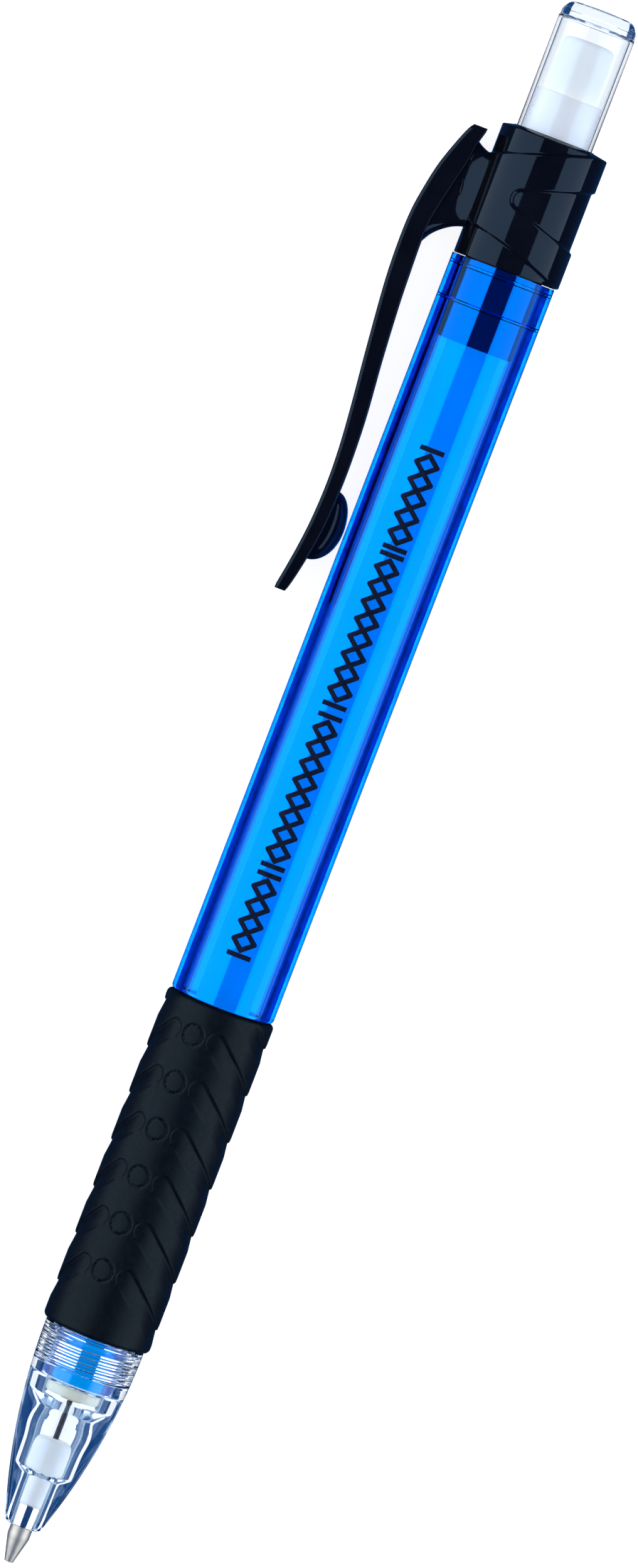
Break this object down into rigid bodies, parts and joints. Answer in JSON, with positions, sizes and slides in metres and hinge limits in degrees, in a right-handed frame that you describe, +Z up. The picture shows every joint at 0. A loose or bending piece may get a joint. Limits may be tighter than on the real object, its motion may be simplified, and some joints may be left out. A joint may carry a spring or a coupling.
{
  "type": "mechanical pencil",
  "caption": "Push-button mechanical pencil with a clear screw-on nose, ribbed rubber grip, blue barrel, black collar and clip, and a clear cap over an eraser.",
  "frame": {"origin": "centre of the footprint of the pencil as it lies on its side, on the table", "axes": "+X runs along the pencil from the writing tip to the push cap, +Y points to the clip's side, +Z up"},
  "size_m": [0.1454, 0.0148, 0.0101],
  "materials": {
    "clear_plastic": "clear, polished",
    "blue_plastic": "transparent blue, polished",
    "black_plastic": "gloss black",
    "black_rubber": "matte",
    "nickel": "satin nickel plate",
    "brass": "turned",
    "spring_steel": "drawn wire",
    "white_plastic": "smooth white",
    "soft_white": "translucent soft white",
    "eraser_white": "matte eraser vinyl",
    "frosted_plastic": "frosted",
    "graphite": "polymer lead"
  },
  "bodies": {
    "barrel_body": {"barrel": "blue_plastic", "rubber_grip": "black_rubber", "guide_sleeve": "white_plastic", "spring": "spring_steel", "collar": "black_plastic"},
    "mechanism": {"chuck": "brass", "chuck_socket": "black_plastic", "lead_tube": "frosted_plastic", "eraser_holder": "white_plastic"},
    "clutch_ring_body": {"clutch_ring": "brass"},
    "tip_body": {"metal_tip": "nickel"},
    "nose_body": {"nose_cone": "clear_plastic", "lead_retainer": "soft_white"},
    "lead_body": {"lead": "graphite"},
    "spare_lead_1_body": {"spare_lead_1": "graphite"},
    "spare_lead_2_body": {"spare_lead_2": "graphite"},
    "spare_lead_3_body": {"spare_lead_3": "graphite"},
    "eraser_body": {"eraser": "eraser_white"},
    "cap_body": {"push_cap": "clear_plastic"},
    "clip_body": {"clip": "black_plastic"}
  },
  "joints": [
    {"name": "push_button", "type": "slide", "parent": "barrel_body", "child": "mechanism", "axis": [-1, 0, 0], "range_m": [0, 0.0033], "stiffness_N_per_m": 600, "springref_m": -0.003, "deforming": ["spring"]},
    {"name": "clutch_ring_slide", "type": "slide", "parent": "barrel_body", "child": "clutch_ring_body", "axis": [-1, 0, 0], "range_m": [0, 0.001]},
    {"name": "tip_advance", "type": "slide", "parent": "barrel_body", "child": "tip_body", "axis": [-1, 0, 0], "range_m": [0, 0.0033]},
    {"name": "nose_turn", "type": "hinge", "parent": "tip_body", "child": "nose_body", "pos_m": [-0.06065, -0.00238, 0.00503], "axis": [-1, 0, 0], "range_deg": [0, 2165]},
    {"name": "lead_feed", "type": "slide", "parent": "barrel_body", "child": "lead_body", "axis": [-1, 0, 0], "range_m": [0, 0.012]},
    {"name": "spare_lead_1_slide", "type": "slide", "parent": "mechanism", "child": "spare_lead_1_body", "axis": [1, 0, 0], "range_m": [0, 0.03]},
    {"name": "spare_lead_2_slide", "type": "slide", "parent": "mechanism", "child": "spare_lead_2_body", "axis": [1, 0, 0], "range_m": [0, 0.03]},
    {"name": "spare_lead_3_slide", "type": "slide", "parent": "mechanism", "child": "spare_lead_3_body", "axis": [1, 0, 0], "range_m": [0, 0.03]},
    {"name": "eraser_lift", "type": "slide", "parent": "mechanism", "child": "eraser_body", "axis": [1, 0, 0], "range_m": [0, 0.0012]},
    {"name": "cap_pull", "type": "slide", "parent": "mechanism", "child": "cap_body", "axis": [1, 0, 0], "range_m": [0, 0.02]},
    {"name": "clip_flex", "type": "hinge", "parent": "barrel_body", "child": "clip_body", "pos_m": [0.05435, 0.0027, 0.0034], "axis": [0, -0.3068, -0.9518], "range_deg": [0, 4], "stiffness_Nm_per_rad": 0.6}
  ],
  "couplings": [
    {"joint": "clutch_ring_slide", "follows": "push_button", "ratio": 0.3},
    {"joint": "nose_turn", "follows": "tip_advance", "rad_per_m": 11424}
  ]
}
